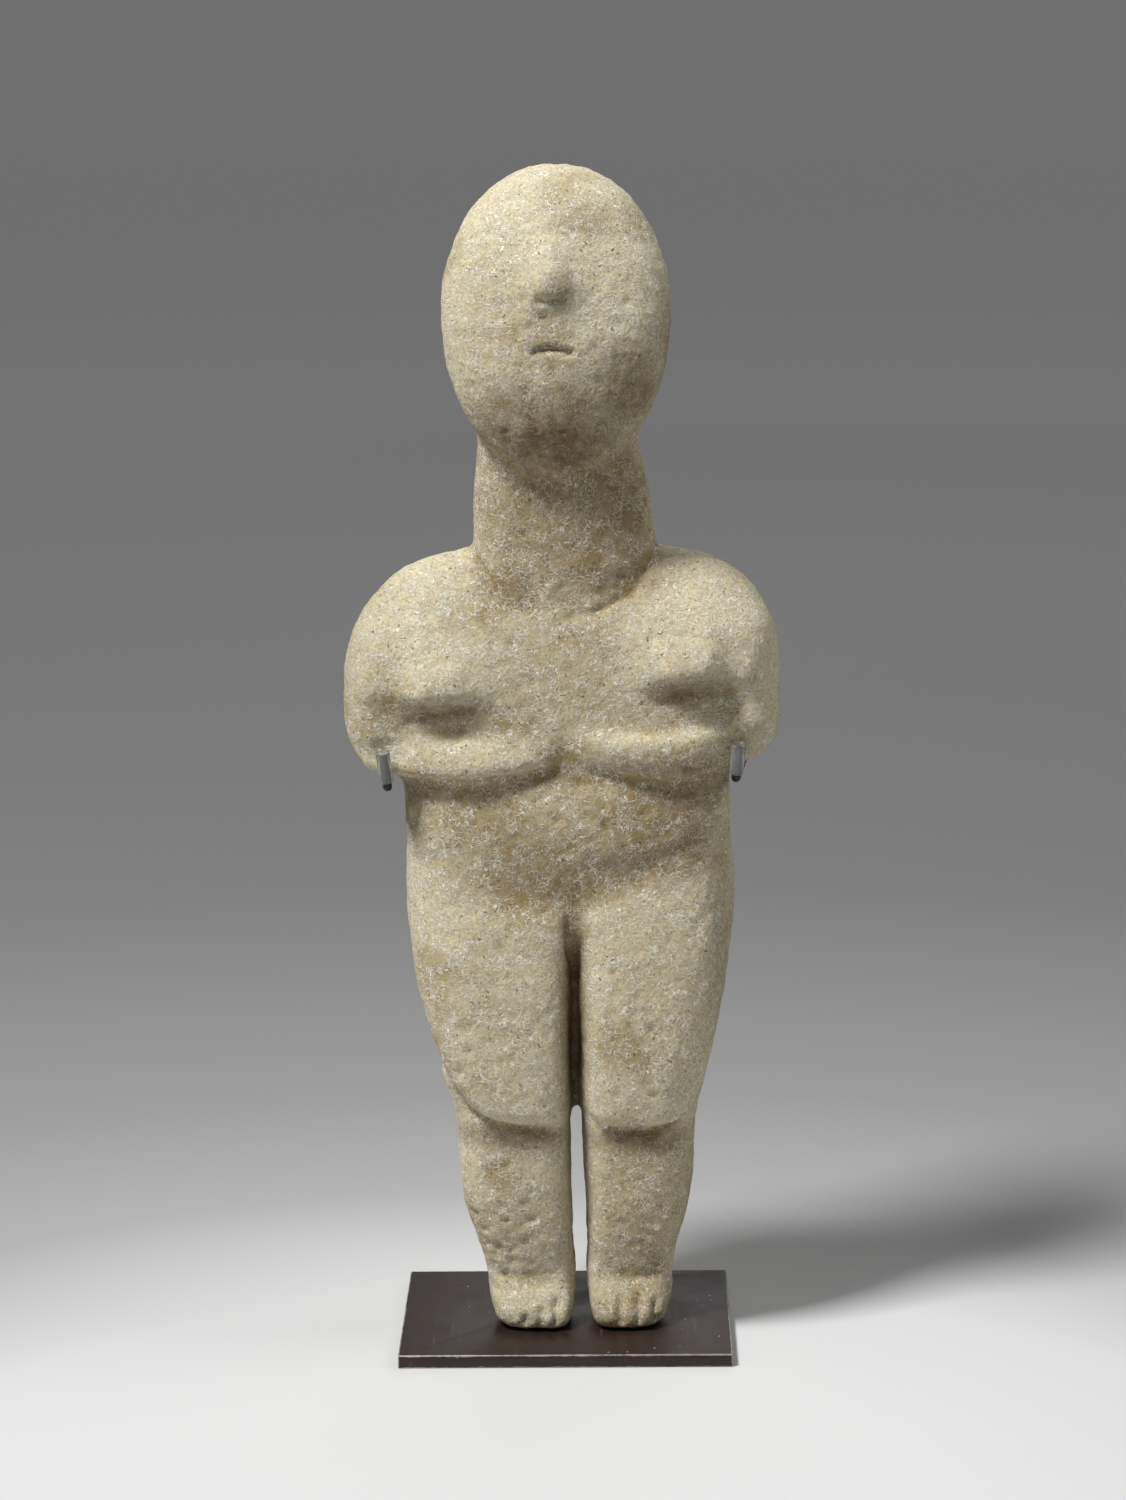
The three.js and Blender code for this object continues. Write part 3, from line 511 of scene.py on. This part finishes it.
RUBBED_WIDTH = 0.3 * MM
RUBBED_UNEVEN = 0.9 * MM
PLATE_TOOTH = 0.2 * MM

plate_steel = bpy.data.materials.new("browned_plate")
tree = nodes_of(plate_steel)
at, skin = with_skin(tree, 1.0)
off = add(tree, "VectorMath", [(0, at), (1, plate_middle)], operation="SUBTRACT").outputs[0]
off = add(tree, "VectorMath", [(0, off)], operation="ABSOLUTE").outputs[0]
off = add(tree, "VectorMath", [(0, plate_size / 2), (1, off)], operation="SUBTRACT").outputs[0]
from_side = add(tree, "SeparateXYZ", [(0, off)]).outputs
nearest = calc(tree, "MINIMUM", from_side[0], from_side[1])
farther = calc(tree, "MAXIMUM", from_side[0], from_side[1])
from_edge = calc(tree, "MAXIMUM", nearest, calc(tree, "MINIMUM", farther, from_side[2]))
uneven = calc(tree, "MULTIPLY", noise(tree, at, 220.0, 4.0, 0.7), RUBBED_UNEVEN)
rubbed = ramp(tree, calc(tree, "SUBTRACT", from_edge, uneven), 0.0, -RUBBED_WIDTH)
colour = blend_colour(tree, skin["Mottle"], (0.022, 0.012, 0.010, 1), (0.037, 0.021, 0.017, 1))
colour = blend_colour(tree, calc(tree, "MULTIPLY", skin["Scratches"], 0.35), colour, (0.16, 0.12, 0.10, 1))
colour = blend_colour(tree, skin["Dust"], colour, (0.42, 0.38, 0.32, 1))
colour = blend_colour(tree, calc(tree, "MULTIPLY", rubbed, 0.8), colour, (0.48, 0.42, 0.36, 1))
bump = add(tree, "Bump", [("Strength", 0.25), ("Distance", PLATE_TOOTH), ("Height", skin["Mottle"])])
shader = add(
    tree,
    "BsdfPrincipled",
    [
        ("Base Color", colour),
        ("Metallic", 0.2),
        ("Roughness", ramp(tree, skin["Mottle"], 0.0, 1.0, 0.34, 0.46)),
        ("Normal", bump.outputs[0]),
    ],
)
add(tree, "OutputMaterial", [("Surface", shader.outputs[0])])
plate.data.materials.append(plate_steel)
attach(plate, "root")
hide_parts("base_plate")

# ---------------------------------------------------------------- cradle
# A steel post is pressed into the plate behind the figure. One bent wire is brazed across it: its
# two ends come forward under the elbows and turn up in front of them.

SHIFT = -0.44 * MM  # the frame is centred on the whole object, not on the figure
WIRE_RADIUS = 1.15 * MM
FRONT_BEND = 1.8 * MM
BACK_BEND = 6 * MM
LEFT_FOOT = Vector((-42.8, -14.6, 145.3)) * MM
RIGHT_FOOT = Vector((43.4, -14.6, 147.0)) * MM
LEFT_LEAN = Vector((-0.11, -0.17, 1)).normalized()
RIGHT_LEAN = Vector((0.09, -0.24, 1)).normalized()
SPREAD = 4 * MM
PRONG = 8.5 * MM
BEND_STEPS = 10
POST_EDGE = 0.3 * MM
BRAZE_PROUD = 0.3 * MM
WIRE_TOOTH = 0.1 * MM

corners = [
    LEFT_FOOT + LEFT_LEAN * PRONG,
    LEFT_FOOT,
    Vector((LEFT_FOOT.x - SPREAD, POST_Y, LEFT_FOOT.z)),
    Vector((RIGHT_FOOT.x + SPREAD, POST_Y, RIGHT_FOOT.z)),
    RIGHT_FOOT,
    RIGHT_FOOT + RIGHT_LEAN * PRONG,
]
route = [corners[0]]
for before, corner, after in zip(corners, corners[1:], corners[2:]):
    bend = BACK_BEND if corner.y > 0 else FRONT_BEND
    enter = corner + (before - corner).normalized() * bend
    leave = corner + (after - corner).normalized() * bend
    for step in range(BEND_STEPS + 1):
        t = step / BEND_STEPS
        route.append(enter * (1 - t) ** 2 + corner * 2 * t * (1 - t) + leave * t**2)
route.append(corners[-1])

line = bpy.data.curves.new("cradle_wire", "CURVE")
line.dimensions = "3D"
line.bevel_depth = WIRE_RADIUS
line.bevel_resolution = 6
line.use_fill_caps = True
spline = line.splines.new("POLY")
spline.points.add(len(route) - 1)
for point, spot in zip(spline.points, route):
    point.co = (spot.x + SHIFT, spot.y, spot.z, 1)
cradle = bpy.data.objects.new("steel_cradle", line)
bpy.context.scene.collection.objects.link(cradle)
pick(cradle)
bpy.ops.object.convert(target="MESH")
bpy.ops.object.mode_set(mode="EDIT")
bpy.ops.mesh.select_all(action="SELECT")
bpy.ops.mesh.remove_doubles(threshold=SAME_PLACE / 10)
bpy.ops.mesh.normals_make_consistent(inside=False)
bpy.ops.object.mode_set(mode="OBJECT")

across = (POST_X - SHIFT - LEFT_FOOT.x) / (RIGHT_FOOT.x - LEFT_FOOT.x)
braze_z = LEFT_FOOT.z + across * (RIGHT_FOOT.z - LEFT_FOOT.z)
bpy.ops.object.select_all(action="DESELECT")
bpy.ops.mesh.primitive_cylinder_add(
    vertices=48,
    radius=POST_RADIUS,
    depth=braze_z - post_low.z,
    location=(POST_X, POST_Y, (braze_z + post_low.z) / 2),
)
post = bpy.context.object
bpy.ops.object.transform_apply(location=True, rotation=True, scale=True)
work(post, "BEVEL", width=POST_EDGE, segments=3, limit_method="ANGLE", angle_limit=SHARP)
bpy.ops.object.select_all(action="DESELECT")
bpy.ops.mesh.primitive_uv_sphere_add(
    segments=40, ring_count=24, radius=POST_RADIUS + BRAZE_PROUD, location=(POST_X, POST_Y, braze_z)
)
braze = bpy.context.object
for part in (post, braze):
    work(cradle, "BOOLEAN", object=part, operation="UNION", solver="EXACT")
    bpy.data.objects.remove(part)
bpy.ops.object.shade_smooth_by_angle(angle=SMOOTH)

wire_steel = bpy.data.materials.new("blackened_wire")
tree = nodes_of(wire_steel)
at, skin = with_skin(tree, 2.5)
colour = blend_colour(tree, skin["Mottle"], (0.012, 0.011, 0.011, 1), (0.03, 0.026, 0.024, 1))
colour = blend_colour(tree, calc(tree, "MULTIPLY", skin["Scratches"], 0.5), colour, (0.12, 0.11, 0.10, 1))
bump = add(tree, "Bump", [("Strength", 0.2), ("Distance", WIRE_TOOTH), ("Height", skin["Mottle"])])
shader = add(
    tree,
    "BsdfPrincipled",
    [
        ("Base Color", colour),
        ("Metallic", 0.6),
        ("Roughness", ramp(tree, skin["Mottle"], 0.0, 1.0, 0.32, 0.48)),
        ("Normal", bump.outputs[0]),
    ],
)
add(tree, "OutputMaterial", [("Surface", shader.outputs[0])])
cradle.data.materials.append(wire_steel)
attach(cradle, "root")
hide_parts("cradle")

# ---------------------------------------------------------------- sleeves
# A short length of clear plastic tube is pushed over each prong, so that no steel touches the
# marble. It is cut square, and stands a little above the end of the wire.

SLEEVE_OUTER = 1.75 * MM
SLEEVE_WALL = 0.3 * MM
SLEEVE_LENGTH = 7.8 * MM
SLEEVE_EDGE = 0.07 * MM
SLEEVE_RIPPLE = 0.1 * MM
ROUND = math.radians(50)
CLEAR_DARK = (0.90, 0.92, 0.92, 1)
CLEAR_LIGHT = (0.97, 0.98, 0.98, 1)

clear_tube = bpy.data.materials.new("clear_tube")
tree = nodes_of(clear_tube)
at = add(tree, "TexCoord").outputs["Object"]
haze = noise(tree, at, 900.0, 3.0, 0.6)
bump = add(tree, "Bump", [("Strength", 0.1), ("Distance", SLEEVE_RIPPLE), ("Height", haze)])
shader = add(
    tree,
    "BsdfPrincipled",
    [
        ("Base Color", blend_colour(tree, haze, CLEAR_DARK, CLEAR_LIGHT)),
        ("Roughness", ramp(tree, haze, 0.3, 0.7, 0.08, 0.2)),
        ("Normal", bump.outputs[0]),
        ("IOR", 1.45),
        ("Transmission Weight", 0.9),
    ],
)
add(tree, "OutputMaterial", [("Surface", shader.outputs[0])])

for name, lean in (("sleeve_left", LEFT_LEAN), ("sleeve_right", RIGHT_LEAN)):
    low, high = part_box(name)
    bpy.ops.object.select_all(action="DESELECT")
    bpy.ops.mesh.primitive_cylinder_add(
        vertices=48,
        radius=SLEEVE_OUTER,
        depth=SLEEVE_LENGTH,
        end_fill_type="NOTHING",
        location=(low + high) / 2,
        rotation=lean.to_track_quat("Z", "Y").to_euler(),
    )
    sleeve = bpy.context.object
    sleeve.name = "clear_" + name
    bpy.ops.object.transform_apply(location=True, rotation=True, scale=True)
    work(sleeve, "SOLIDIFY", thickness=SLEEVE_WALL, offset=-1)
    work(sleeve, "BEVEL", width=SLEEVE_EDGE, segments=2, limit_method="ANGLE", angle_limit=SHARP)
    bpy.ops.object.shade_smooth_by_angle(angle=ROUND)
    sleeve.data.materials.append(clear_tube)
    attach(sleeve, "root")
    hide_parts(name)

# ---------------------------------------------------------------- floor
# A seamless pale studio floor. Its colour is painted from pale to grey with distance, a painted fall-off
# of the lamps' light, and its far part has a painted glow: it gives off light though it is no lamp. It
# isn't part of the object.

FLOOR_RADIUS = 40
LIT_MIDDLE = (0, -0.15, 0)
PAINTED_FALLOFF_REACH = 1.2
PAINTED_FALLOFF = [
    (0.0, 0.735), (0.15, 0.68), (0.19, 0.54), (0.22, 0.42),
    (0.30, 0.33), (0.40, 0.27), (0.52, 0.21), (0.85, 0.17),
]
PAINTED_GLOW_REACH = 8.0
PAINTED_GLOW = [
    (0.0, 0.0), (0.047, 0.0), (0.061, 0.018), (0.078, 0.032),
    (0.098, 0.049), (0.124, 0.071), (0.27, 0.143), (0.9, 0.153),
]

bpy.ops.object.select_all(action="DESELECT")
bpy.ops.mesh.primitive_circle_add(vertices=96, radius=FLOOR_RADIUS, fill_type="NGON", location=(0, 0, 0))
floor = bpy.context.object
floor.name = "studio_floor"
paper = bpy.data.materials.new("studio_paper")
tree = nodes_of(paper)
at = add(tree, "TexCoord").outputs["Object"]
away = add(tree, "VectorMath", [(0, at), (1, LIT_MIDDLE)], operation="DISTANCE").outputs["Value"]


def greys(steps, reach):
    """Greys by distance from the middle of the lit floor: (share of the reach, grey) pairs."""
    made = add(tree, "ValToRGB", [(0, calc(tree, "DIVIDE", away, reach))])
    stops = made.color_ramp.elements
    for index, (place, grey) in enumerate(steps):
        stop = stops[index] if index < 2 else stops.new(place)
        stop.position = place
        stop.color = (grey, grey, grey, 1)
    return made.outputs[0]


shader = add(
    tree,
    "BsdfPrincipled",
    [
        ("Base Color", greys(PAINTED_FALLOFF, PAINTED_FALLOFF_REACH)),
        ("Roughness", 0.9),
        ("Specular IOR Level", 0.1),
        # painted glow: the far floor gives off light of its own
        ("Emission Color", greys(PAINTED_GLOW, PAINTED_GLOW_REACH)),
        ("Emission Strength", 1.0),
    ],
)
add(tree, "OutputMaterial", [("Surface", shader.outputs[0])])
floor.data.materials.append(paper)

# ---------------------------------------------------------------- light
# One strong soft lamp stands high in front on the left. Weak ones low on the left, on the right and
# behind open the shadows, in an even grey room.

CHEST = Vector((0, 0, 0.16))


def lamp(name, azimuth, elevation, away, size, power):
    """A square soft lamp that faces the figure's chest. Azimuth 0 is in front, 90 on the right."""
    a, e = math.radians(azimuth), math.radians(elevation)
    back = Vector((math.sin(a) * math.cos(e), -math.cos(a) * math.cos(e), math.sin(e)))
    data = bpy.data.lights.new(name, "AREA")
    data.shape = "SQUARE"
    data.size = size
    data.energy = power
    made = bpy.data.objects.new(name, data)
    bpy.context.scene.collection.objects.link(made)
    made.location = CHEST + back * away
    made.rotation_mode = "QUATERNION"
    made.rotation_quaternion = (-back).to_track_quat("-Z", "Y")


lamp("key", -53, 58, 1.6, 0.32, 29.8)
lamp("low_left", -60, 10, 1.1, 0.4, 0.8)
lamp("right", 88, 40, 0.6, 0.3, 1.0)
lamp("behind", 170, 35, 1.4, 1.0, 3.0)

ROOM_LIGHT = 0.0325
ROOM_SEEN = 0.16  # the wall is as grey as the far end of the floor

room = bpy.data.worlds.new("room")
tree = nodes_of(room)
looked_at = add(tree, "LightPath").outputs["Is Camera Ray"]
grey = calc(tree, "MULTIPLY_ADD", looked_at, ROOM_SEEN - ROOM_LIGHT, ROOM_LIGHT)
wall = add(tree, "Background", [("Color", (1, 1, 1, 1)), ("Strength", grey)])
add(tree, "OutputWorld", [("Surface", wall.outputs[0])])
bpy.context.scene.world = room
bpy.context.scene.view_settings.view_transform = "Standard"

# ---------------------------------------------------------------- camera
# It stands a metre in front, a little above the head, and looks down at the figure.

CAMERA_AT = Vector((15.42, -977.6, 353.98)) * MM
YAW = math.radians(0.899)
PITCH = math.radians(11.694)
ROLL = math.radians(-0.604)
LENS = 95.5
SENSOR = 36

forward = Vector((-math.sin(YAW) * math.cos(PITCH), math.cos(YAW) * math.cos(PITCH), -math.sin(PITCH)))
level = Vector((math.cos(YAW), math.sin(YAW), 0))
upright = level.cross(forward)
right = math.cos(ROLL) * level + math.sin(ROLL) * upright
up = -math.sin(ROLL) * level + math.cos(ROLL) * upright
lens = bpy.data.cameras.new("camera")
lens.lens = LENS
lens.sensor_width = SENSOR
lens.clip_start = 0.05
lens.clip_end = 100
camera = bpy.data.objects.new("camera", lens)
bpy.context.scene.collection.objects.link(camera)
camera.matrix_world = Matrix.Translation(CAMERA_AT) @ Matrix((right, up, -forward)).transposed().to_4x4()
bpy.context.scene.camera = camera
